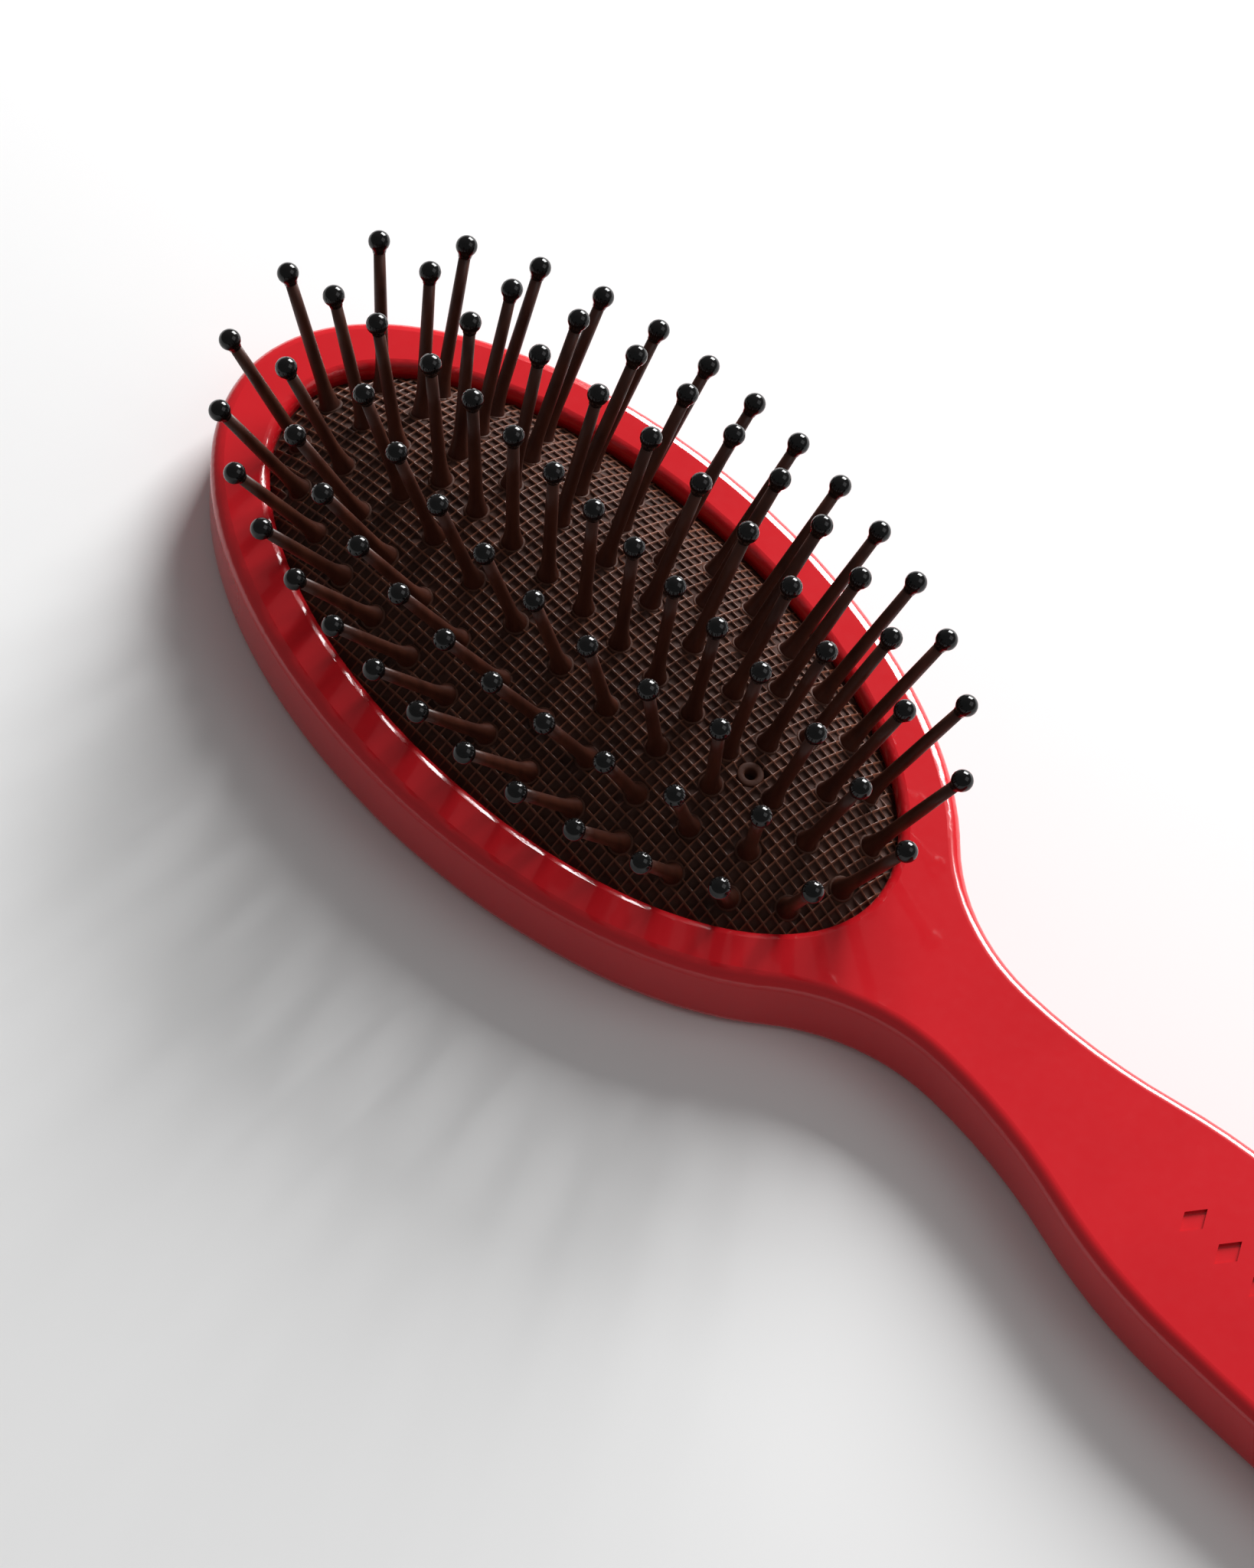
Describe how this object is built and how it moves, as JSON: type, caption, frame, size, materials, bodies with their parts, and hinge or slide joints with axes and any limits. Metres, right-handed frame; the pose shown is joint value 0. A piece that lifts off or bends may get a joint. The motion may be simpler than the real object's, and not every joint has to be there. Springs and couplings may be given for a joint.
{
  "type": "oval cushion hairbrush",
  "caption": "Oval hairbrush with a one-piece handle and head, a domed rubber air cushion and splayed ball-tipped nylon pins that sink when pressed.",
  "frame": {"origin": "on the flat back, under the middle of the brush's length", "axes": "+X from the head towards the end of the handle, +Z out of the back through the pins"},
  "size_m": [0.19, 0.0524, 0.0316],
  "materials": {
    "red_body": "glossy red lacquered plastic",
    "rubber_pad": "brown rubber with a fine raised lattice",
    "nylon_pin": "satin dark brown nylon",
    "ball_tip": "glossy black"
  },
  "bodies": {
    "brush": {"brush_body": "red_body", "cushion_pad": "rubber_pad"},
    "outer_ring": {"pins_outer_01": "nylon_pin", "tips_outer_01": "ball_tip", "pins_outer_02": "nylon_pin", "tips_outer_02": "ball_tip", "pins_outer_03": "nylon_pin", "tips_outer_03": "ball_tip", "pins_outer_04": "nylon_pin", "tips_outer_04": "ball_tip", "pins_outer_05": "nylon_pin", "tips_outer_05": "ball_tip", "pins_outer_06": "nylon_pin", "tips_outer_06": "ball_tip", "pins_outer_07": "nylon_pin", "tips_outer_07": "ball_tip", "pins_outer_08": "nylon_pin", "tips_outer_08": "ball_tip", "pins_outer_09": "nylon_pin", "tips_outer_09": "ball_tip", "pins_outer_10": "nylon_pin", "tips_outer_10": "ball_tip"},
    "middle_ring": {"pins_middle_01": "nylon_pin", "tips_middle_01": "ball_tip", "pins_middle_02": "nylon_pin", "tips_middle_02": "ball_tip", "pins_middle_03": "nylon_pin", "tips_middle_03": "ball_tip", "pins_middle_04": "nylon_pin", "tips_middle_04": "ball_tip", "pins_middle_05": "nylon_pin", "tips_middle_05": "ball_tip", "pins_middle_06": "nylon_pin", "tips_middle_06": "ball_tip", "pins_middle_07": "nylon_pin", "tips_middle_07": "ball_tip", "pins_middle_08": "nylon_pin", "tips_middle_08": "ball_tip"},
    "inner_ring": {"pins_inner_01": "nylon_pin", "tips_inner_01": "ball_tip", "pins_inner_02": "nylon_pin", "tips_inner_02": "ball_tip", "pins_inner_03": "nylon_pin", "tips_inner_03": "ball_tip", "pins_inner_04": "nylon_pin", "tips_inner_04": "ball_tip", "pins_inner_05": "nylon_pin", "tips_inner_05": "ball_tip", "pins_inner_06": "nylon_pin", "tips_inner_06": "ball_tip"},
    "centre_row": {"pins_centre_01": "nylon_pin", "tips_centre_01": "ball_tip", "pins_centre_02": "nylon_pin", "tips_centre_02": "ball_tip", "pins_centre_03": "nylon_pin", "tips_centre_03": "ball_tip"}
  },
  "joints": [
    {"name": "cushion_press", "type": "slide", "parent": "brush", "child": "centre_row", "axis": [0, 0, -1], "range_m": [0, 0.003], "stiffness_N_per_m": 2500, "deforming": ["cushion_pad"]},
    {"name": "inner_ring_press", "type": "slide", "parent": "brush", "child": "inner_ring", "axis": [0, 0, -1], "range_m": [0, 0.0027]},
    {"name": "middle_ring_press", "type": "slide", "parent": "brush", "child": "middle_ring", "axis": [0, 0, -1], "range_m": [0, 0.00203]},
    {"name": "outer_ring_press", "type": "slide", "parent": "brush", "child": "outer_ring", "axis": [0, 0, -1], "range_m": [0, 0.00109]}
  ],
  "couplings": [
    {"joint": "inner_ring_press", "follows": "cushion_press", "ratio": 0.899},
    {"joint": "middle_ring_press", "follows": "cushion_press", "ratio": 0.677},
    {"joint": "outer_ring_press", "follows": "cushion_press", "ratio": 0.361}
  ]
}
